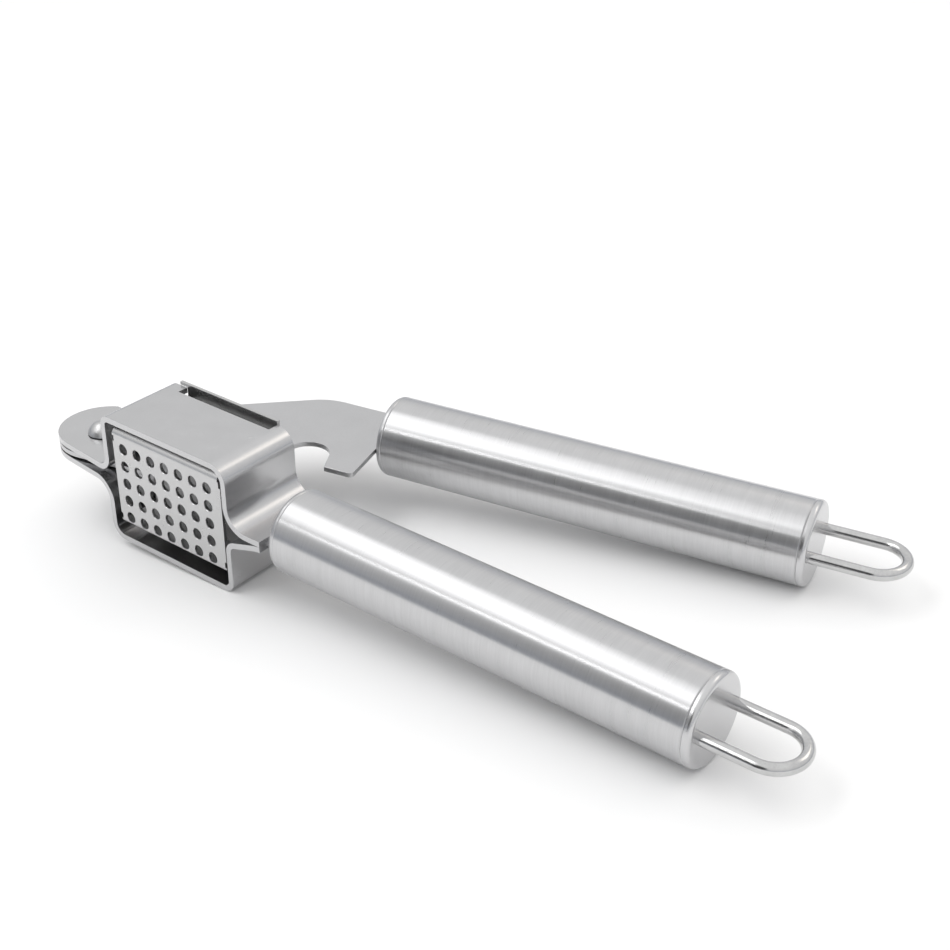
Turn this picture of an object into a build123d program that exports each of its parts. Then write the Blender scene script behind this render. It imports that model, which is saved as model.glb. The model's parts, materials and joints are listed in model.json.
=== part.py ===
from build123d import *
import math
import os

# Garlic press of stamped sheet and tube, lying on its side.
# The model is drawn about the middle of the round pivot tabs: X runs along the handle of the
# box, Y runs from the sieve towards the plunger, Z is parallel to the pivot and z = 0 is the
# parting plane.
# place_on_floor() then moves everything to the bottom centre of the overall box.

# ---- sheet and running gaps ----
SHEET = 1.4                     # housing strips
SIEVE_SHEET = 0.8
LEVER_SHEET = 1.3
LEVER_GAP = 0.4                 # lever plate to each pivot tab
PIVOT_GAP = 0.05                # radial, rivet in the lever plate

# ---- housing: two bent strips that form the box, the pivot tabs and the neck ----
TAB_RADIUS = 11.0
BOX_LEFT = 15.6                 # outer faces of the box
BOX_RIGHT = 56.5
BOX_FRONT = -12.6
BOX_REAR = 9.4
BOX_HALF_HEIGHT = 16.5
NECK_END = 66.0                 # where the strips narrow to their tang
TANG_END = 88.0
TANG_HALF_WIDTH = 7.4
TAB_BEND_UPPER = 3.5            # bend radii at mid thickness
TAB_BEND_LOWER = 5.2
TOP_LEFT_BEND = 1.8
TOP_RIGHT_BEND = 3.8
NECK_BEND_UPPER = 5.8
BOTTOM_LEFT_BEND = 3.2
BOTTOM_RIGHT_BEND = 2.2
NECK_BEND_LOWER = 2.5
NECK_RISE_LOWER = 2.8           # how far the lower neck climbs to the parting plane
NECK_EASE_LOWER = 8.0

# ---- finger notch at the rear of the box, and the lips of the sieve insert ----
NOTCH_LEFT = 21.5
NOTCH_RIGHT = 51.5
NOTCH_DEPTH = 2.8
LIP_SIDE_GAP = 0.05
LIP_PROUD = 0.9
EAR_LENGTH = 2.4                # the lip's only ear is at its left end
EAR_HEIGHT = 0.8

# ---- sieve insert ----
SIEVE_LEFT = 19.0
SIEVE_RIGHT = 54.6
SIEVE_TOP = 13.9
SIEVE_BOTTOM = -11.7
SIEVE_RECESS = 0.2
SIEVE_BEND_TOP = 1.7            # outer bend radii
SIEVE_BEND_BOTTOM = 1.3
RELIEF_DEPTH = 0.5
RELIEF_HEIGHT = 1.5
LEG_INSET = 0.8                 # right side of the top leg, clear of the box's bend
HOLE_COLUMNS = 7
HOLE_ROWS = 5
HOLE_PITCH = 4.63
HOLE_DIAMETER = 2.75
FIRST_HOLE_X = 22.35

# ---- pivot rivet ----
RIVET_X = 2.0                   # off the middle of the round tabs
RIVET_Y = -2.0
RIVET_RADIUS = 2.4
RIVET_HEAD_RADIUS = 3.6
RIVET_HEAD_HEIGHT = 2.8
RIVET_STANDOFF = 0.25           # head to tab, from a loose setting

# ---- lever plate, in its half-open rest position ----
CLOSING_ANGLE = 12.0            # from rest to fully pressed
HANDLE_B_ANGLE = 10.93
HANDLE_B_OFFSET = 33.44         # middle of the tabs to the axis of the lever's handle
LEVER_BACK_ANGLE = 46.5
LEVER_BACK_EDGE = 8.4           # back edge beyond the handle axis
LEVER_BACK_FILLET = 14.0
OPENER_X = 45.9
OPENER_Y = 23.9
OPENER_RADIUS = 5.55
NOTCH_END_X = 50.9              # where the notch runs out into the straight side of the tooth
NOTCH_END_Y = 26.3
TOOTH_X = 53.6
TOOTH_Y = 21.6
HEEL_X = 61.2
HEEL_Y = 23.2
SHOULDER_OFFSET = -10.0         # near side of the plate where it meets its handle
SHOULDER_X = 50.4               # hidden corner inside the box
SHOULDER_Y = 8.4
THROAT_X = 40.6
THROAT_Y = 19.5
HOOK_ARM_X = 50.0

# ---- plunger: a plate on a bracket that swivels on a pin through the lever plate ----
PIN_X = 36.67                   # in the rest position
PIN_Y = 1.54
PIN_RADIUS = 1.5
PIN_HEAD_RADIUS = 2.4
PIN_HEAD_HEIGHT = 0.9
PIN_GAP = 0.05                  # radial, pin in the lever plate
PLUNGER_DROP = 5.3              # pin to pressing face
PLUNGER_SHEET = 1.2
PLUNGER_LEFT = 21.6
PLUNGER_RIGHT = 54.2
PLUNGER_TOP = 12.7
PLUNGER_BOTTOM = -10.5
BRACKET_SHEET = 1.5
BRACKET_GAP = 0.15              # ear to lever plate
BRACKET_LENGTH = 20.0
EAR_RADIUS = 3.2
FOOT_DEPTH = 6.0
OPENING_ANGLE = 60.0            # from rest to wide open
BOSS_RADIUS = 3.0               # lever plate round the pin
SWEEP_RADIUS = 16.6             # room for the end of the plunger

# ---- handles ----
TUBE_RADIUS = 10.0
TUBE_WALL = 1.0
HANDLE_LENGTH = 107.5
HANDLE_A_Y = -1.92
HANDLE_A_START = 67.6
HANDLE_B_START = 63.4
FRONT_CAP = 1.6
FRONT_CAP_ROUND = 1.3
END_CAP = 1.8
END_CAP_ROUND = 1.1
SEAM_CHAMFER = 0.2              # on each side of the seam between tube and cap
SPIGOT = 2.5
WIRE_RADIUS = 1.35
LOOP_HALF_WIDTH = 6.6
LOOP_SIDE = 0.6                 # both legs lie to one side of the handle's axis
LOOP_REACH_A = 18.1             # end face to the middle of the wire at the loop's tip
LOOP_REACH_B = 19.9
LOOP_ROOT = 5.0


def turned(point, angle):
    """The point turned about the Z axis by an angle in degrees."""
    a = math.radians(angle)
    x, y = point
    return (x * math.cos(a) - y * math.sin(a), x * math.sin(a) + y * math.cos(a))


def along(angle, distance, offset):
    """A point at a distance along a direction from the origin, and an offset to its left."""
    return turned((distance, offset), angle)


def bent_strip(points, bends):
    """A sheet bent along a path in XZ, as deep as the housing."""
    path = FilletPolyline(*points, radius=bends)
    profile = Plane.XZ.offset(-BOX_REAR) * trace(path, line_width=SHEET)
    return extrude(profile, BOX_REAR - BOX_FRONT)


def strip_outline():
    """The strips seen along the pivot axis: round tab, box, neck and tang."""
    front = math.degrees(math.asin((TAB_RADIUS + BOX_FRONT) / BOX_LEFT))
    tangent = TAB_RADIUS * math.sin(math.radians(front))
    tab = Circle(TAB_RADIUS)
    wedge = make_face(Polyline(
        (tangent, -TAB_RADIUS), (BOX_LEFT, BOX_FRONT), (BOX_LEFT, BOX_REAR),
        (-tangent, TAB_RADIUS), close=True))
    box = Pos((BOX_LEFT + NECK_END) / 2, (BOX_FRONT + BOX_REAR) / 2) * Rectangle(
        NECK_END - BOX_LEFT, BOX_REAR - BOX_FRONT)
    tang = Pos((NECK_END + TANG_END) / 2, HANDLE_A_Y) * Rectangle(
        TANG_END - NECK_END, 2 * TANG_HALF_WIDTH)
    return tab + wedge + box + tang


def shell(points, bends, side):
    """One housing strip, cut to its outline, with its rivet hole and rear notch."""
    body = bent_strip(points, bends)
    height = 4 * BOX_HALF_HEIGHT
    body &= extrude(Pos(0, 0, -height / 2) * strip_outline(), height)
    body -= Pos(RIVET_X, RIVET_Y) * Cylinder(RIVET_RADIUS, height)
    notch = Box(NOTCH_RIGHT - NOTCH_LEFT, 2 * NOTCH_DEPTH, 4 * SHEET)
    middle = (NOTCH_LEFT + NOTCH_RIGHT) / 2
    return body - Pos(middle, BOX_REAR, side * BOX_HALF_HEIGHT) * notch


def upper_shell():
    half = SHEET / 2
    left = BOX_LEFT + half
    right = BOX_RIGHT - half
    top = BOX_HALF_HEIGHT - half
    tab = LEVER_SHEET / 2 + LEVER_GAP + half
    points = [(-TAB_RADIUS, tab), (left, tab), (left, top), (right, top), (right, half),
              (TANG_END, half)]
    return shell(points, [TAB_BEND_UPPER, TOP_LEFT_BEND, TOP_RIGHT_BEND, NECK_BEND_UPPER], 1)


def lower_shell():
    half = SHEET / 2
    left = BOX_LEFT + half
    right = BOX_RIGHT - half
    bottom = half - BOX_HALF_HEIGHT
    tab = -(LEVER_SHEET / 2 + LEVER_GAP + half)
    points = [(-TAB_RADIUS, tab), (left, tab), (left, bottom), (right, bottom),
              (right, -half - NECK_RISE_LOWER), (NECK_END - 1, -half), (TANG_END, -half)]
    bends = [TAB_BEND_LOWER, BOTTOM_LEFT_BEND, BOTTOM_RIGHT_BEND, NECK_BEND_LOWER, NECK_EASE_LOWER]
    return shell(points, bends, -1)


def sieve_insert():
    """A U of thin sheet with a perforated face, whose legs end in lips behind the box."""
    half = SIEVE_SHEET / 2
    face = BOX_FRONT + SIEVE_RECESS + half
    lip = BOX_REAR + half
    top = SIEVE_TOP - half
    bottom = SIEVE_BOTTOM + half
    lip_top = BOX_HALF_HEIGHT + LIP_PROUD
    path = FilletPolyline(
        (lip, -BOX_HALF_HEIGHT), (lip, bottom), (face, bottom), (face, top), (lip, top),
        (lip, lip_top),
        radius=[1.0, SIEVE_BEND_BOTTOM - half, SIEVE_BEND_TOP - half, 1.0])
    profile = Plane.YZ.offset(SIEVE_LEFT) * trace(path, line_width=SIEVE_SHEET)
    body = extrude(profile, SIEVE_RIGHT - SIEVE_LEFT)
    body -= sieve_holes() + lip_trims() + relief_notches()
    leg_edge = Pos(SIEVE_RIGHT, (BOX_FRONT + BOX_REAR) / 2, SIEVE_TOP) * Box(
        2 * LEG_INSET, BOX_REAR - BOX_FRONT, 2 * SIEVE_BEND_TOP)
    return body - leg_edge


def sieve_holes():
    width = (HOLE_COLUMNS - 1) * HOLE_PITCH
    centre = Plane((FIRST_HOLE_X + width / 2, BOX_FRONT, 0), x_dir=(1, 0, 0), z_dir=(0, 1, 0))
    grid = GridLocations(HOLE_PITCH, HOLE_PITCH, HOLE_COLUMNS, HOLE_ROWS)
    return Part() + [centre * spot * Cylinder(HOLE_DIAMETER / 2, 4) for spot in grid]


def lip_trims():
    """What is cut from the ends of the lips to leave one thin ear above the box."""
    left = NOTCH_LEFT + LIP_SIDE_GAP
    right = NOTCH_RIGHT - LIP_SIDE_GAP
    ear_base = BOX_HALF_HEIGHT + LIP_PROUD - EAR_HEIGHT
    reach = 10.0
    trims = Part()
    trims += Pos(left - reach / 2, BOX_REAR + 2, 0) * Box(reach, 5, 2 * ear_base)
    for end in (left - EAR_LENGTH - reach / 2, right + reach / 2):
        trims += Pos(end, BOX_REAR + 2, 0) * Box(reach, 5, 4 * BOX_HALF_HEIGHT)
    return trims


def relief_notches():
    """Small bend reliefs in the side edges of the sieve's face."""
    notches = Part()
    for z in (SIEVE_TOP - SIEVE_BEND_TOP - RELIEF_HEIGHT / 2,
              SIEVE_BOTTOM + SIEVE_BEND_BOTTOM + RELIEF_HEIGHT / 2):
        for x in (SIEVE_LEFT, SIEVE_RIGHT):
            notches += Pos(x, BOX_FRONT, z) * Box(2 * RELIEF_DEPTH, 3, RELIEF_HEIGHT)
    return notches


def dome(base_radius, height):
    """A flat-based spherical cap, standing on z = 0."""
    ball = (base_radius ** 2 + height ** 2) / (2 * height)
    cap = Pos(0, 0, height - ball) * Sphere(ball)
    return cap & Pos(0, 0, height) * Box(3 * base_radius, 3 * base_radius, 2 * height)


def rivet(radius, head_radius, head_height, grip):
    """A round rivet along Z with a dome on each side of its grip."""
    head = Pos(0, 0, grip / 2) * dome(head_radius, head_height)
    return Cylinder(radius, grip) + head + mirror(head, about=Plane.XY)


def pivot_rivet():
    grip = LEVER_SHEET + 2 * (LEVER_GAP + SHEET + RIVET_STANDOFF)
    return Pos(RIVET_X, RIVET_Y) * rivet(RIVET_RADIUS, RIVET_HEAD_RADIUS, RIVET_HEAD_HEIGHT, grip)


def about_pin(angle, radius):
    """A point at an angle and a radius from the plunger pin."""
    a = math.radians(angle)
    return (PIN_X + radius * math.cos(a), PIN_Y + radius * math.sin(a))


def near_edge():
    """The lever's edge inside the box, which leaves room for the swivelling plunger."""
    start = turned((0, -TAB_RADIUS), CLOSING_ANGLE)
    reach = math.hypot(PIN_X, PIN_Y)
    pin_turn = math.degrees(math.atan2(PIN_Y, PIN_X)) - CLOSING_ANGLE
    pin_pressed = (reach * math.cos(math.radians(pin_turn)), reach * math.sin(math.radians(pin_turn)))
    chord = math.sqrt(SWEEP_RADIUS ** 2 - (TAB_RADIUS + pin_pressed[1]) ** 2)
    corner = turned((pin_pressed[0] - chord, -TAB_RADIUS), CLOSING_ANGLE)
    flank = 180 - OPENING_ANGLE + math.degrees(math.asin(BOSS_RADIUS / SWEEP_RADIUS))
    open_side = about_pin(270 - OPENING_ANGLE, BOSS_RADIUS)
    pressed_side = about_pin(270 + CLOSING_ANGLE, BOSS_RADIUS)
    tip = turned((HOOK_ARM_X, 0), 1)
    arm = lines_meet(pressed_side, CLOSING_ANGLE, tip, 90)
    return [
        Line(start, corner),
        ThreePointArc(corner, about_pin(180, SWEEP_RADIUS), about_pin(flank, SWEEP_RADIUS)),
        Line(about_pin(flank, SWEEP_RADIUS), open_side),
        ThreePointArc(open_side, about_pin(240, BOSS_RADIUS), pressed_side),
        Line(pressed_side, arm),
    ]


def lever_plate():
    """The flat lever: pivot eye, boss for the plunger pin, bottle-opener hook and tang."""
    edge = near_edge()
    back = along(LEVER_BACK_ANGLE, 0, TAB_RADIUS)
    corner = lines_meet(back, LEVER_BACK_ANGLE,
                        along(HANDLE_B_ANGLE, 0, HANDLE_B_OFFSET + LEVER_BACK_EDGE), HANDLE_B_ANGLE)
    tang_top = along(HANDLE_B_ANGLE, HANDLE_B_START, HANDLE_B_OFFSET + LEVER_BACK_EDGE)
    tang_low = along(HANDLE_B_ANGLE, HANDLE_B_START, HANDLE_B_OFFSET + SHOULDER_OFFSET)
    rest = Polyline(
        edge[-1] @ 1, (SHOULDER_X, SHOULDER_Y), (THROAT_X, THROAT_Y),
        (OPENER_X - OPENER_RADIUS, OPENER_Y), (NOTCH_END_X, NOTCH_END_Y), (TOOTH_X, TOOTH_Y),
        (HEEL_X, HEEL_Y), tang_low, tang_top, corner, back, (0, 0), edge[0] @ 0)
    outline = make_face(Curve() + edge + rest)
    outline += Circle(TAB_RADIUS)
    outline = fillet(outline.vertices().sort_by_distance(corner)[0], LEVER_BACK_FILLET)
    outline = fillet(outline.vertices().sort_by_distance((HEEL_X, HEEL_Y))[0], 1.2)
    outline = fillet(outline.vertices().sort_by_distance((SHOULDER_X, SHOULDER_Y))[0], 4.0)
    outline -= Pos(OPENER_X, OPENER_Y) * Circle(OPENER_RADIUS)
    tang = Rot(0, 0, HANDLE_B_ANGLE) * Pos(HANDLE_B_START + 9, HANDLE_B_OFFSET) * Rectangle(
        22, 2 * TANG_HALF_WIDTH)
    outline += tang
    outline -= Pos(RIVET_X, RIVET_Y) * Circle(RIVET_RADIUS + PIVOT_GAP)
    outline -= Pos(PIN_X, PIN_Y) * Circle(PIN_RADIUS + PIN_GAP)
    return extrude(Pos(0, 0, -LEVER_SHEET / 2) * outline, LEVER_SHEET)


def lines_meet(p, p_angle, q, q_angle):
    """Where the line through p meets the line through q, given their directions."""
    a, b = math.radians(p_angle), math.radians(q_angle)
    dx, dy = q[0] - p[0], q[1] - p[1]
    t = (dx * math.sin(b) - dy * math.cos(b)) / math.sin(b - a)
    return (p[0] + t * math.cos(a), p[1] + t * math.sin(a))


def plunger_plate():
    """The flat plate that presses on the sieve."""
    middle = ((PLUNGER_LEFT + PLUNGER_RIGHT) / 2, PIN_Y - PLUNGER_DROP + PLUNGER_SHEET / 2,
              (PLUNGER_TOP + PLUNGER_BOTTOM) / 2)
    plate = Pos(*middle) * Box(
        PLUNGER_RIGHT - PLUNGER_LEFT, PLUNGER_SHEET, PLUNGER_TOP - PLUNGER_BOTTOM)
    return fillet(plate.edges().filter_by(Axis.Y), 2.0)


def plunger_bracket():
    """Two angles behind the plate, whose ears straddle the lever plate on the pin."""
    back = PIN_Y - PLUNGER_DROP + PLUNGER_SHEET
    inner = LEVER_SHEET / 2 + BRACKET_GAP
    ear = Pos(PIN_X, PIN_Y) * Circle(EAR_RADIUS)
    ear += make_face(Polyline(
        (PIN_X - BRACKET_LENGTH / 2, back), (PIN_X + BRACKET_LENGTH / 2, back),
        (PIN_X + BRACKET_LENGTH / 2, back + BRACKET_SHEET), (PIN_X + EAR_RADIUS, PIN_Y),
        (PIN_X - EAR_RADIUS, PIN_Y), (PIN_X - BRACKET_LENGTH / 2, back + BRACKET_SHEET), close=True))
    ear -= Pos(PIN_X, PIN_Y) * Circle(PIN_RADIUS)
    ear_up = extrude(Pos(0, 0, inner) * ear, BRACKET_SHEET)
    foot = Pos(PIN_X, back + BRACKET_SHEET / 2, inner + FOOT_DEPTH / 2) * Box(
        BRACKET_LENGTH, BRACKET_SHEET, FOOT_DEPTH)
    angle = ear_up + foot
    return Compound([angle, mirror(angle, about=Plane.XY)])


def plunger_pin():
    grip = LEVER_SHEET + 2 * (BRACKET_GAP + BRACKET_SHEET)
    return Pos(PIN_X, PIN_Y, 0) * rivet(PIN_RADIUS, PIN_HEAD_RADIUS, PIN_HEAD_HEIGHT, grip)


# ---- handles: drawn along +X from their front face, then moved on to each arm ----

def along_x(sketch_on_end, start, length):
    return extrude(Plane.YZ.offset(start) * sketch_on_end, length)


def handle_tube():
    length = HANDLE_LENGTH - FRONT_CAP - END_CAP
    rod = along_x(Circle(TUBE_RADIUS), FRONT_CAP, length)
    rod = chamfer(rod.edges().filter_by(GeomType.CIRCLE), SEAM_CHAMFER)
    return rod - along_x(Circle(TUBE_RADIUS - TUBE_WALL), 0, HANDLE_LENGTH)


def front_cap(slot_height):
    """The slotted disc that closes the front of a handle round its tang."""
    disc = along_x(Circle(TUBE_RADIUS), 0, FRONT_CAP)
    disc = chamfer(disc.edges().group_by(Axis.X)[-1], SEAM_CHAMFER)
    disc = fillet(disc.edges().group_by(Axis.X)[0], FRONT_CAP_ROUND)
    disc += along_x(Circle(TUBE_RADIUS - TUBE_WALL), FRONT_CAP, SPIGOT)
    return disc - Box(20, 2 * TANG_HALF_WIDTH, slot_height)


def end_cap():
    """The disc that closes the back of a handle, with two holes for the hanging loop."""
    start = HANDLE_LENGTH - END_CAP
    disc = along_x(Circle(TUBE_RADIUS), start, END_CAP)
    disc = chamfer(disc.edges().group_by(Axis.X)[0], SEAM_CHAMFER)
    disc = fillet(disc.edges().group_by(Axis.X)[-1], END_CAP_ROUND)
    disc += along_x(Circle(TUBE_RADIUS - TUBE_WALL), start - SPIGOT, SPIGOT)
    holes = Pos(LOOP_SIDE + LOOP_HALF_WIDTH, 0) * Circle(WIRE_RADIUS)
    holes += Pos(LOOP_SIDE - LOOP_HALF_WIDTH, 0) * Circle(WIRE_RADIUS)
    return disc - along_x(holes, start - 2 * SPIGOT, 4 * SPIGOT)


def hanging_loop(reach):
    """A round wire bent to a U, its ends in the end cap."""
    root = HANDLE_LENGTH - LOOP_ROOT
    bend = HANDLE_LENGTH + reach - LOOP_HALF_WIDTH
    leg = along_x(Pos(LOOP_HALF_WIDTH, 0) * Circle(WIRE_RADIUS), root, bend - root)
    end = Plane.YZ.offset(bend) * Pos(LOOP_HALF_WIDTH, 0) * Circle(WIRE_RADIUS)
    turn = revolve(end, Axis((bend, 0, 0), (0, 0, 1)), -180)
    return Pos(0, LOOP_SIDE, 0) * (leg + turn + mirror(leg, about=Plane.XZ))


def on_arm_a(shape):
    return Pos(HANDLE_A_START, HANDLE_A_Y, 0) * shape


def on_arm_b(shape):
    return Rot(0, 0, HANDLE_B_ANGLE) * Pos(HANDLE_B_START, HANDLE_B_OFFSET, 0) * shape


def build_parts():
    return {
        "upper_shell": upper_shell(),
        "lower_shell": lower_shell(),
        "sieve_insert": sieve_insert(),
        "pivot_rivet": pivot_rivet(),
        "box_handle_tube": on_arm_a(handle_tube()),
        "box_handle_front_cap": on_arm_a(front_cap(2 * SHEET)),
        "box_handle_end_cap": on_arm_a(end_cap()),
        "box_handle_loop": on_arm_a(hanging_loop(LOOP_REACH_A)),
        "lever_plate": lever_plate(),
        "plunger_plate": plunger_plate(),
        "plunger_bracket": plunger_bracket(),
        "plunger_pin": plunger_pin(),
        "lever_handle_tube": on_arm_b(handle_tube()),
        "lever_handle_front_cap": on_arm_b(front_cap(LEVER_SHEET)),
        "lever_handle_end_cap": on_arm_b(end_cap()),
        "lever_handle_loop": on_arm_b(hanging_loop(LOOP_REACH_B)),
    }


def place_on_floor(parts):
    """Move the parts so that the origin is the bottom centre of their common box."""
    box = Compound([part for part in parts.values()]).bounding_box()
    shift = Pos(-box.center().X, -box.center().Y, -box.min.Z)
    print("tabs centred at", -box.center().X, -box.center().Y, "parting plane at z", -box.min.Z)
    return {name: shift * part for name, part in parts.items()}


os.makedirs("parts", exist_ok=True)
for name, part in place_on_floor(build_parts()).items():
    export_step(part, f"parts/{name}.step")
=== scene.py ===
import json
import math

import bmesh
import bpy
from mathutils import Matrix, Vector


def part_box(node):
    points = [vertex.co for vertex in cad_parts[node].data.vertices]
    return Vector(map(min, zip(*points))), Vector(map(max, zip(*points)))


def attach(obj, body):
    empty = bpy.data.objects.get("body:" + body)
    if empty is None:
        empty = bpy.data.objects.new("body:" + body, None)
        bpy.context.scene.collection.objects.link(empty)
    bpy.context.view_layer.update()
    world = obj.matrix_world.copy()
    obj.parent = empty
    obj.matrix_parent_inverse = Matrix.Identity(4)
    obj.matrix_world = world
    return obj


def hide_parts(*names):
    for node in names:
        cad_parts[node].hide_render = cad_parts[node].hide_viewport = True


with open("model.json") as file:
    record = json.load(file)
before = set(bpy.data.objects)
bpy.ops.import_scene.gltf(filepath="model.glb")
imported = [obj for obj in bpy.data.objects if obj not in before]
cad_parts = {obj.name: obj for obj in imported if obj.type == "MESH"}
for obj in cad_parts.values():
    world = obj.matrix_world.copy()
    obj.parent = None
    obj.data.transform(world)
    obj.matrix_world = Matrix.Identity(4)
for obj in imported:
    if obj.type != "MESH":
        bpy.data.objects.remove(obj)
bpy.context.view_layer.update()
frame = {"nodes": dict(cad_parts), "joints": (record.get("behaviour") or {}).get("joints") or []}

NODES = frame["nodes"]
JOINTS = {joint["name"]: joint for joint in frame["joints"]}
PIVOT = Vector(JOINTS["lever_hinge"]["pos_m"])
MM = 0.001


# ---- handles: worked out from the CAD nodes ----

def farthest(node, direction):
    """The vertex of a CAD node that lies farthest in a direction."""
    return max((v.co for v in NODES[node].data.vertices), key=lambda co: co.dot(direction))


def middle(node):
    """The mean of a CAD node's vertices."""
    points = [v.co for v in NODES[node].data.vertices]
    return sum(points, Vector()) / len(points)


class Arm:
    """A handle's own frame: its origin at the front face, its axis along the tube."""

    def __init__(self, name, body):
        self.name = name
        self.body = body
        back = middle(name + "_end_cap")
        front = middle(name + "_front_cap")
        back.z = front.z = PIVOT.z
        self.axis = (back - front).normalized()
        start = min(v.co.dot(self.axis) for v in NODES[name + "_front_cap"].data.vertices)
        self.origin = front + (start - front.dot(self.axis)) * self.axis
        self.turn = math.atan2(self.axis.y, self.axis.x)
        self.matrix = Matrix.Translation(self.origin) @ Matrix.Rotation(self.turn, 4, "Z")


BOX_ARM = Arm("box_handle", "box_arm")
LEVER_ARM = Arm("lever_handle", "lever_arm")


# ---- materials ----

def linear(colour):
    """An sRGB hex colour as linear RGBA."""
    parts = [int(colour[i:i + 2], 16) / 255 for i in (1, 3, 5)]
    return [c / 12.92 if c <= 0.04045 else ((c + 0.055) / 1.055) ** 2.4 for c in parts] + [1.0]


def add(tree, kind, settings=(), inputs=()):
    """One node: settings are its properties, inputs its sockets' values or links."""
    node = tree.nodes.new(kind)
    for name, value in dict(settings).items():
        setattr(node, name, value)
    for name, value in dict(inputs).items():
        if isinstance(value, bpy.types.NodeSocket):
            tree.links.new(value, node.inputs[name])
        else:
            node.inputs[name].default_value = value
    return node


def set_stops(ramp, *stops):
    """Give a colour ramp its (position, hex colour) stops."""
    elements = ramp.color_ramp.elements
    while len(elements) < len(stops):
        elements.new(0.5)
    for element, (position, colour) in zip(elements, stops):
        element.position = position
        element.color = linear(colour)


def metal(name):
    """A new metal material, its tree, its shader and its object coordinates."""
    material = bpy.data.materials.new(name)
    material.use_nodes = True
    tree = material.node_tree
    shader = tree.nodes["Principled BSDF"]
    shader.inputs["Metallic"].default_value = 1.0
    place = add(tree, "ShaderNodeTexCoord").outputs["Object"]
    return material, tree, shader, place


# Brushing and tumbling leave marks of about 0.05 mm, too fine to show on the whole press, so
# every fine grain is drawn at 0.4 to 0.7 mm. The coarse grain is the mottling of 2 to 8 mm.

def streaks(tree, place, fine, coarse, share=0.5):
    """Two grains, in marks per millimetre, mixed from 0 to 1: share is the coarse one's."""
    grains = [add(tree, "ShaderNodeTexNoise", inputs={
        "Vector": place, "Scale": marks / MM, "Detail": 3.0, "Roughness": crispness}).outputs["Fac"]
              for marks, crispness in ((fine, 0.6), (coarse, 0.5))]
    return add(tree, "ShaderNodeMix", {"data_type": "FLOAT"}, {
        0: share, 2: grains[0], 3: grains[1]}).outputs[0]


COLOUR_SPAN = (0.3, 0.7)            # the grain's values that take the darker and lighter colour
GLOSS_SPAN = (0.25, 0.75)           # and those that take the smoother and rougher surface


def finish(tree, shader, pattern, dark, light, smooth, rough):
    """The pattern's colours and its range of roughness."""
    tint = add(tree, "ShaderNodeValToRGB", inputs={"Fac": pattern})
    set_stops(tint, (COLOUR_SPAN[0], dark), (COLOUR_SPAN[1], light))
    tree.links.new(tint.outputs["Color"], shader.inputs["Base Color"])
    gloss = add(tree, "ShaderNodeMapRange", inputs={
        "Value": pattern, "From Min": GLOSS_SPAN[0], "From Max": GLOSS_SPAN[1],
        "To Min": smooth, "To Max": rough})
    tree.links.new(gloss.outputs["Result"], shader.inputs["Roughness"])


def even_metal(name, fine, coarse, dark, light, smooth, rough):
    """A metal whose grain is the same in every direction."""
    material, tree, shader, place = metal(name)
    finish(tree, shader, streaks(tree, place, fine, coarse), dark, light, smooth, rough)
    return material


MARK_WIDTH = 0.06                   # of a brushing mark's length round the tube
BRUSHED_PULL = 0.9                  # how far the brushing draws a highlight out


def brushed_tube(arm):
    """18/8 stainless tube, belt-brushed round its girth: highlights smear along the tube."""
    material, tree, shader, place = metal("belt_brushed_stainless_" + arm.name)
    local = add(tree, "ShaderNodeMapping", {"vector_type": "TEXTURE"}, {
        "Vector": place, "Location": arm.origin, "Rotation": (0, 0, arm.turn)}).outputs["Vector"]
    rings = add(tree, "ShaderNodeMapping", inputs={
        "Vector": local, "Scale": (1.0, MARK_WIDTH, MARK_WIDTH)})
    pattern = streaks(tree, rings.outputs["Vector"], 2.6, 0.3, 0.4)
    finish(tree, shader, pattern, "#C4C4C5", "#CFCFD0", 0.26, 0.33)
    shader.inputs["Anisotropic"].default_value = BRUSHED_PULL
    along = add(tree, "ShaderNodeCombineXYZ", inputs={"X": arm.axis.x, "Y": arm.axis.y})
    grain = add(tree, "ShaderNodeVectorTransform", {
        "vector_type": "VECTOR", "convert_from": "OBJECT", "convert_to": "WORLD"}, {
        "Vector": along.outputs["Vector"]})
    tree.links.new(grain.outputs["Vector"], shader.inputs["Tangent"])
    return material


# Stamped 18/8 sheet, tumbled after bending: an even satin with faint mottling.
SHEET = even_metal("tumbled_stainless_sheet", 2.5, 0.16, "#C3C3C4", "#CACACB", 0.24, 0.28)
# Thin cold-rolled sheet: a satin a little softer and darker than the box's.
SIEVE = even_metal("cold_rolled_sieve_sheet", 2.6, 0.2, "#C1C1C1", "#C9C9C9", 0.26, 0.31)
# Thicker blanked plate, matte from tumbling: broad, soft highlights.
LEVER = even_metal("tumbled_stainless_plate", 2.2, 0.12, "#C2C2C3", "#CACACB", 0.34, 0.40)
# Bright drawn wire: nearly a mirror.
WIRE = even_metal("bright_drawn_wire", 1.5, 0.3, "#BEBEBE", "#CFCFCF", 0.10, 0.20)
# Pressed cap, its face left satin by the tool: pale and even.
CAP = even_metal("satin_cap", 1.8, 0.3, "#CACACB", "#CFCFD0", 0.24, 0.28)
# Soft stainless rivet, headed cold: a dull, slightly uneven dome.
RIVET = even_metal("headed_rivet", 1.5, 0.5, "#B8B8B8", "#C8C8C8", 0.32, 0.40)
TUBES = {arm.name: brushed_tube(arm) for arm in (BOX_ARM, LEVER_ARM)}


# ---- pieces ----

def paint(node, material):
    """A CAD node whose shape is right takes a better material."""
    obj = NODES[node]
    obj.data.materials.clear()
    obj.data.materials.append(material)


BEVEL_SEGMENTS = 2
BEVEL_ANGLE = math.radians(38)
SHARP_ANGLE = math.radians(30)
MERGE = 0.002 * MM
FLAT = math.radians(0.5)


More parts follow.
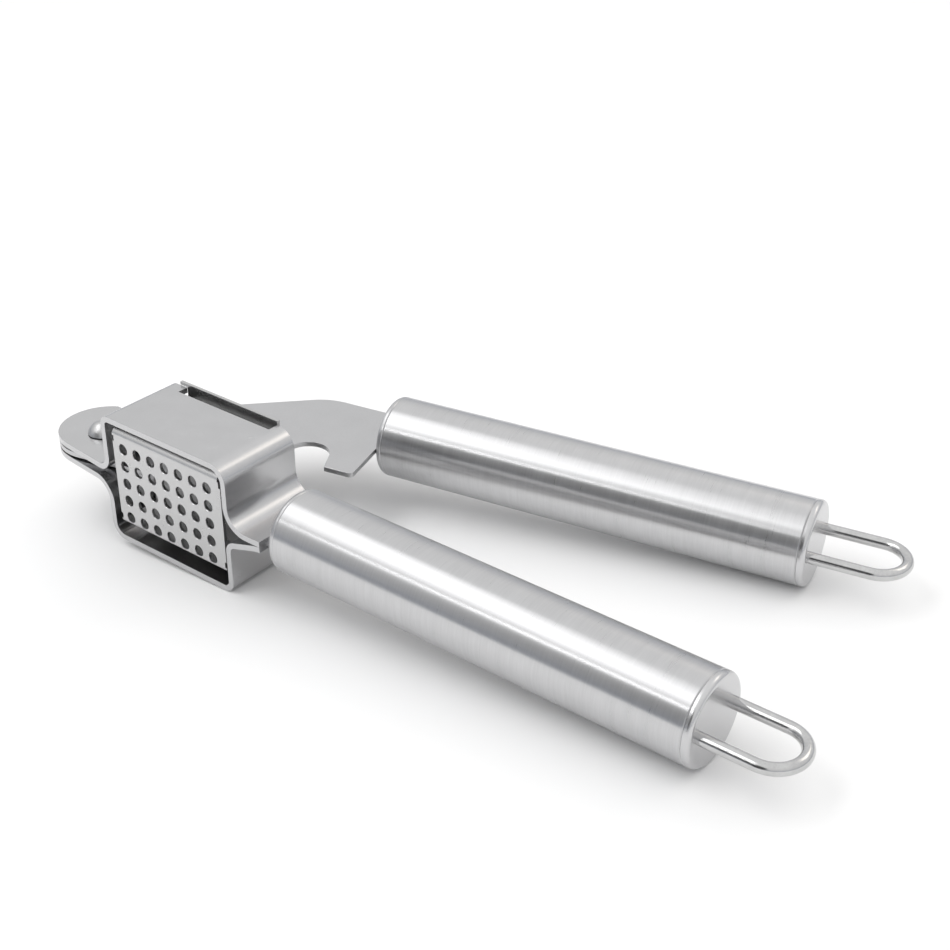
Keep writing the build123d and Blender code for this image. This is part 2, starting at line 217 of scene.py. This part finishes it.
def baked(obj):
    """The object's modifiers applied to its mesh."""
    graph = bpy.context.evaluated_depsgraph_get()
    done = bpy.data.meshes.new_from_object(obj.evaluated_get(graph))
    obj.modifiers.clear()
    obj.data = done


def shade(obj):
    """Smooth faces with crisp edges, the large flat faces ruling the normals."""
    for polygon in obj.data.polygons:
        polygon.use_smooth = True
    obj.data.set_sharp_from_angle(angle=SHARP_ANGLE)
    weigh = obj.modifiers.new("weighted_normals", "WEIGHTED_NORMAL")
    weigh.keep_sharp = True
    baked(obj)


def new_piece(name, mesh):
    """An object of the scene with that mesh."""
    obj = bpy.data.objects.new(name, mesh)
    bpy.context.scene.collection.objects.link(obj)
    return obj


def stand_in(obj, node, body):
    """Put a finished piece in place of a CAD node, on its body."""
    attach(obj, body)
    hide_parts(node)


def bevel(obj, width):
    """Ease the object's sharp edges by a width."""
    ease = obj.modifiers.new("eased_edges", "BEVEL")
    ease.width = width
    ease.segments = BEVEL_SEGMENTS
    ease.limit_method = "ANGLE"
    ease.angle_limit = BEVEL_ANGLE
    ease.miter_outer = "MITER_ARC"
    ease.harden_normals = False


def simplify(work):
    """Merge a CAD tessellation's coplanar triangles back into whole faces."""
    bmesh.ops.remove_doubles(work, verts=work.verts, dist=MERGE)
    bmesh.ops.dissolve_limit(work, angle_limit=FLAT, verts=work.verts, edges=work.edges)


def eased(node, body, name, material, width):
    """A copy of a stamped piece with its sheared edges eased, in place of its CAD node."""
    mesh = NODES[node].data.copy()
    work = bmesh.new()
    work.from_mesh(mesh)
    simplify(work)
    work.to_mesh(mesh)
    work.free()
    mesh.materials.clear()
    mesh.materials.append(material)
    obj = new_piece(name, mesh)
    bevel(obj, width)
    baked(obj)
    shade(obj)
    stand_in(obj, node, body)


# ---- Geometry Nodes: the perforated sheet and the bent wire ----

def node_tree(name, inputs):
    """An empty Geometry Nodes tree with a mesh in, named inputs and a mesh out."""
    tree = bpy.data.node_groups.new(name, "GeometryNodeTree")
    tree.interface.new_socket("Geometry", in_out="INPUT", socket_type="NodeSocketGeometry")
    for label, kind in inputs:
        tree.interface.new_socket(label, in_out="INPUT", socket_type=kind)
    tree.interface.new_socket("Geometry", in_out="OUTPUT", socket_type="NodeSocketGeometry")
    return tree, add(tree, "NodeGroupInput").outputs


def close_tree(tree, geometry, material):
    """Realize, paint and hand out the tree's result."""
    real = add(tree, "GeometryNodeRealizeInstances", inputs={"Geometry": geometry})
    painted = add(tree, "GeometryNodeSetMaterial", inputs={
        "Geometry": real.outputs["Geometry"], "Material": material})
    add(tree, "NodeGroupOutput", inputs={"Geometry": painted.outputs["Geometry"]})


HOLE_SIDES = 40
PUNCH_DEPTH = 6 * MM
FACING_BACK = (math.radians(-90), 0.0, 0.0)     # turns +Z to +Y


def perforator():
    """Cuts a grid of round holes through a sheet facing -Y, with rolled-in rims."""
    tree, given = node_tree("perforated_sheet", [
        ("Columns", "NodeSocketInt"), ("Rows", "NodeSocketInt"), ("Pitch", "NodeSocketFloat"),
        ("Middle", "NodeSocketVector"), ("Hole Radius", "NodeSocketFloat"),
        ("Rim", "NodeSocketFloat"), ("Material", "NodeSocketMaterial")])
    spans = []
    for count in (given["Columns"], given["Rows"]):
        gaps = add(tree, "ShaderNodeMath", {"operation": "SUBTRACT"}, {0: count, 1: 1.0})
        spans.append(add(tree, "ShaderNodeMath", {"operation": "MULTIPLY"}, {
            0: gaps.outputs[0], 1: given["Pitch"]}).outputs[0])
    grid = add(tree, "GeometryNodeMeshGrid", inputs={
        "Size X": spans[0], "Size Y": spans[1], "Vertices X": given["Columns"],
        "Vertices Y": given["Rows"]})
    upright = add(tree, "GeometryNodeTransform", inputs={
        "Geometry": grid.outputs["Mesh"], "Translation": given["Middle"],
        "Rotation": FACING_BACK}).outputs["Geometry"]
    punch = add(tree, "GeometryNodeMeshCylinder", inputs={
        "Vertices": HOLE_SIDES, "Radius": given["Hole Radius"], "Depth": PUNCH_DEPTH}).outputs["Mesh"]
    mouth, throat, depth, forward = (
        add(tree, "ShaderNodeMath", {"operation": "MULTIPLY_ADD"}, {
            0: given["Rim"], 1: rims, 2: start}).outputs[0]
        for rims, start in ((2.0, given["Hole Radius"]), (-1.0, given["Hole Radius"]),
                            (3.0, 0.0), (-1.0, 0.0)))
    flare = add(tree, "GeometryNodeMeshCone", inputs={
        "Vertices": HOLE_SIDES, "Radius Bottom": mouth, "Radius Top": throat, "Depth": depth})
    outward = add(tree, "ShaderNodeCombineXYZ", inputs={"Z": forward}).outputs["Vector"]
    rims = add(tree, "GeometryNodeTransform", inputs={
        "Geometry": flare.outputs["Mesh"], "Translation": outward}).outputs["Geometry"]
    sheet = given["Geometry"]
    for tool in (punch, rims):
        stamped = add(tree, "GeometryNodeInstanceOnPoints", inputs={
            "Points": upright, "Instance": tool, "Rotation": FACING_BACK})
        real = add(tree, "GeometryNodeRealizeInstances", inputs={
            "Geometry": stamped.outputs["Instances"]}).outputs["Geometry"]
        sheet = add(tree, "GeometryNodeMeshBoolean", {
            "operation": "DIFFERENCE", "solver": "EXACT"}, {
            "Mesh 1": sheet, "Mesh 2": real}).outputs["Mesh"]
    close_tree(tree, sheet, given["Material"])
    return tree


def wire_bender():
    """Sweeps a round wire along the path it is given."""
    tree, given = node_tree("bent_wire", [
        ("Wire Radius", "NodeSocketFloat"), ("Sides", "NodeSocketInt"),
        ("Material", "NodeSocketMaterial")])
    path = add(tree, "GeometryNodeMeshToCurve", inputs={"Mesh": given["Geometry"]})
    section = add(tree, "GeometryNodeCurvePrimitiveCircle", inputs={
        "Resolution": given["Sides"], "Radius": given["Wire Radius"]})
    wire = add(tree, "GeometryNodeCurveToMesh", inputs={
        "Curve": path.outputs["Curve"], "Profile Curve": section.outputs["Curve"],
        "Fill Caps": True}).outputs["Mesh"]
    close_tree(tree, wire, given["Material"])
    return tree


def run_tree(obj, tree, values):
    """Add a node tree to an object, give its inputs their values, and apply it."""
    step = obj.modifiers.new(tree.name, "NODES")
    step.node_group = tree
    for item in tree.interface.items_tree:
        if item.in_out == "INPUT" and item.name in values:
            step[item.identifier] = values[item.name]
    baked(obj)


def face_outward(obj):
    """Point every face of a closed piece outward."""
    work = bmesh.new()
    work.from_mesh(obj.data)
    bmesh.ops.recalc_face_normals(work, faces=work.faces)
    work.to_mesh(obj.data)
    work.free()


# ---- the sieve: seven by five holes ----
COLUMNS = 7
ROWS = 5
PITCH = 4.63 * MM
HOLE_RADIUS = 1.375 * MM
FIRST_HOLE = 3.35 * MM                          # from the left edge of the sheet
RIM = 0.12 * MM
BEHIND_FACE = 0.9 * MM                          # just past the back of the perforated face
HOLE_SLACK = 0.05 * MM
WALL_LEAN = 0.1                                 # a hole's wall turns no more than this to the front
SIEVE_EASE = 0.1 * MM


def blank_sieve():
    """The sieve's CAD sheet with its holes closed, and the middle of its hole pattern."""
    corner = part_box("sieve_insert")[0]
    centre = Vector((corner.x + FIRST_HOLE + (COLUMNS - 1) / 2 * PITCH, corner.y, PIVOT.z))
    mesh = NODES["sieve_insert"].data.copy()
    work = bmesh.new()
    work.from_mesh(mesh)
    bmesh.ops.remove_doubles(work, verts=work.verts, dist=MERGE)
    front = corner.y + BEHIND_FACE
    walls = [face for face in work.faces if abs(face.normal.y) < WALL_LEAN and all(
        in_hole(v.co, centre) and v.co.y < front for v in face.verts)]
    bmesh.ops.delete(work, geom=walls, context="FACES")
    bmesh.ops.holes_fill(work, edges=[e for e in work.edges if e.is_boundary], sides=0)
    bmesh.ops.recalc_face_normals(work, faces=work.faces)
    simplify(work)
    work.to_mesh(mesh)
    work.free()
    return mesh, centre


def in_hole(point, centre):
    """Whether a point lies on or in one of the sieve's holes."""
    across = round((point.x - centre.x) / PITCH) * PITCH + centre.x - point.x
    up = round((point.z - centre.z) / PITCH) * PITCH + centre.z - point.z
    inside = (abs(point.x - centre.x) < COLUMNS / 2 * PITCH
              and abs(point.z - centre.z) < ROWS / 2 * PITCH)
    return inside and math.hypot(across, up) < HOLE_RADIUS + HOLE_SLACK


def make_sieve():
    """The perforated sheet, in place of the CAD one."""
    mesh, centre = blank_sieve()
    obj = new_piece("perforated_sieve", mesh)
    bevel(obj, SIEVE_EASE)
    run_tree(obj, perforator(), {
        "Columns": COLUMNS, "Rows": ROWS, "Pitch": PITCH, "Middle": centre,
        "Hole Radius": HOLE_RADIUS, "Rim": RIM, "Material": SIEVE})
    face_outward(obj)
    obj.data.materials.clear()
    obj.data.materials.append(SIEVE)
    shade(obj)
    stand_in(obj, "sieve_insert", "box_arm")


# ---- the hanging loops ----
LOOP_STEPS = 36
WIRE_SIDES = 32


def make_loop(arm, tree):
    """The hanging loop bent from one wire, as wide and as long as in the CAD."""
    node = arm.name + "_loop"
    back = arm.matrix.inverted()
    points = [back @ v.co for v in NODES[node].data.vertices]
    low = Vector([min(p[i] for p in points) for i in range(3)])
    high = Vector([max(p[i] for p in points) for i in range(3)])
    radius = (high.z - low.z) / 2
    side = (low.y + high.y) / 2
    half = (high.y - low.y) / 2 - radius
    bend = high.x - radius - half
    path = [(low.x, side - half)]
    for step in range(LOOP_STEPS + 1):
        turn = math.pi * (step / LOOP_STEPS - 0.5)
        path.append((bend + half * math.cos(turn), side + half * math.sin(turn)))
    path.append((low.x, side + half))
    mesh = bpy.data.meshes.new(arm.name + "_wire")
    placed = [arm.matrix @ Vector((x, y, 0)) for x, y in path]
    mesh.from_pydata(placed, [(i, i + 1) for i in range(len(path) - 1)], [])
    obj = new_piece(arm.name + "_wire_loop", mesh)
    run_tree(obj, tree, {"Wire Radius": radius, "Sides": WIRE_SIDES, "Material": WIRE})
    face_outward(obj)
    shade(obj)
    stand_in(obj, node, arm.body)


EASE = 0.18 * MM
eased("upper_shell", "box_arm", "upper_housing_strip", SHEET, EASE)
eased("lower_shell", "box_arm", "lower_housing_strip", SHEET, EASE)
make_sieve()
eased("lever_plate", "lever_arm", "stamped_lever", LEVER, EASE)
paint("pivot_rivet", RIVET)
paint("plunger_plate", SIEVE)
paint("plunger_bracket", SHEET)
paint("plunger_pin", RIVET)
BENDER = wire_bender()
for arm in (BOX_ARM, LEVER_ARM):
    paint(arm.name + "_tube", TUBES[arm.name])
    paint(arm.name + "_front_cap", TUBES[arm.name])
    paint(arm.name + "_end_cap", CAP)
    make_loop(arm, BENDER)


# ---- floor: the press rests on the box's corner and the backs of both handles ----

SETTLING_ROUNDS = 12                # tilting the floor until its three points stay the same


def resting_plane():
    """A point of the floor and its normal."""
    supports = ("lower_shell", "box_handle_end_cap", "lever_handle_end_cap")
    normal = Vector((0, 0, 1))
    for _ in range(SETTLING_ROUNDS):
        a, b, c = (farthest(node, -normal) for node in supports)
        normal = (b - a).cross(c - a).normalized()
        if normal.z < 0:
            normal = -normal
    return a.copy(), normal


FLOOR_POINT, FLOOR_NORMAL = resting_plane()


def floor_material():
    """White paper sweep."""
    material = bpy.data.materials.new("white_paper_sweep")
    material.use_nodes = True
    tree = material.node_tree
    shader = tree.nodes["Principled BSDF"]
    shader.inputs["Base Color"].default_value = linear("#F4F4F4")
    shader.inputs["Roughness"].default_value = 0.8
    shader.inputs["Specular IOR Level"].default_value = 0.2
    return material


def lay_floor(size):
    """A square of floor that wide, under the press."""
    mesh = bpy.data.meshes.new("paper_floor")
    half = size / 2
    mesh.from_pydata([(-half, -half, 0), (half, -half, 0), (half, half, 0), (-half, half, 0)], [],
                     [(0, 1, 2, 3)])
    floor = bpy.data.objects.new("paper_floor", mesh)
    bpy.context.scene.collection.objects.link(floor)
    mesh.materials.append(floor_material())
    tilt = FLOOR_NORMAL.to_track_quat("Z", "Y").to_matrix().to_4x4()
    mesh.transform(Matrix.Translation(FLOOR_POINT) @ tilt)


FLOOR_SIZE = 8.0
lay_floor(FLOOR_SIZE)


# ---- camera and light ----

CAMERA_LENS = 58.53
CAMERA_PLACE = Vector((275.79, -206.47, 185.96)) * MM       # both from the pivot
CAMERA_TARGET = Vector((81.61, 43.94, 0.0)) * MM
CAMERA_ROLL = math.radians(0.386)
OPENING = Vector((-0.05, -0.93, 0.36))                      # toward the tent's open front
OPENING_EDGE = (math.cos(math.radians(23)), math.cos(math.radians(19)))
OPENING_STRENGTH = 0.13


def set_camera():
    """The camera, placed from the pivot."""
    camera = bpy.data.cameras.new("camera")
    camera.lens = CAMERA_LENS
    camera.sensor_width = 36.0
    camera.clip_start = 0.01
    obj = bpy.data.objects.new("camera", camera)
    bpy.context.scene.collection.objects.link(obj)
    place = PIVOT + CAMERA_PLACE
    target = PIVOT + CAMERA_TARGET
    turn = (target - place).to_track_quat("-Z", "Y").to_matrix().to_4x4()
    roll = Matrix.Rotation(CAMERA_ROLL, 4, "Z")
    obj.matrix_world = Matrix.Translation(place) @ turn @ roll
    bpy.context.scene.camera = obj


def softbox(name, place, target, size, power, tone="#FFFFFF"):
    """A rectangular light, both places given from the pivot."""
    light = bpy.data.lights.new(name, "AREA")
    light.shape = "RECTANGLE"
    light.size, light.size_y = size
    light.energy = power
    light.color = linear(tone)[:3]
    obj = bpy.data.objects.new(name, light)
    bpy.context.scene.collection.objects.link(obj)
    obj.location = PIVOT + Vector(place)
    toward = Vector(target) - Vector(place)
    obj.rotation_euler = toward.to_track_quat("-Z", "Y").to_euler()
    return obj


def set_surround():
    """A white light tent: paler above, dimmer near its floor, with a dark open front."""
    world = bpy.data.worlds.new("light_tent")
    world.use_nodes = True
    bpy.context.scene.world = world
    tree = world.node_tree
    toward = add(tree, "ShaderNodeTexCoord").outputs["Generated"]
    up = add(tree, "ShaderNodeSeparateXYZ", inputs={0: toward}).outputs["Z"]
    cloth = add(tree, "ShaderNodeValToRGB", inputs={"Fac": up})
    set_stops(cloth, (0.0, "#949AA5"), (0.15, "#D6D8DC"), (0.35, "#ECECEC"), (0.85, "#FFFFFF"))
    facing = add(tree, "ShaderNodeVectorMath", {"operation": "DOT_PRODUCT"}, {
        0: toward, 1: OPENING.normalized()}).outputs["Value"]
    mouth = add(tree, "ShaderNodeMapRange", {"interpolation_type": "SMOOTHSTEP"}, {
        "Value": facing, "From Min": OPENING_EDGE[0], "From Max": OPENING_EDGE[1],
        "To Min": 1.0, "To Max": OPENING_STRENGTH}).outputs["Result"]
    tree.links.new(cloth.outputs["Color"], tree.nodes["Background"].inputs["Color"])
    tree.links.new(mouth, tree.nodes["Background"].inputs["Strength"])


set_camera()
set_surround()
softbox("overhead", (-0.36, -0.24, 0.8), (0, 0, 0), (0.8, 0.39), 1.68)
softbox("front_strip", (-0.25, -0.71, 0.65), (0, 0, 0), (0.5, 0.03), 0.42)
softbox("back", (0.30, 0.68, 0.67), (0, 0, 0), (0.5, 0.25), 0.42, "#FFF4E8")
fill = softbox("floor_fill", (0.1, 0.0, 1.8), (0.1, 0.0, 0.0), (3.4, 3.4), 8.5)
fill.visible_glossy = False
bpy.context.scene.view_settings.view_transform = "Standard"
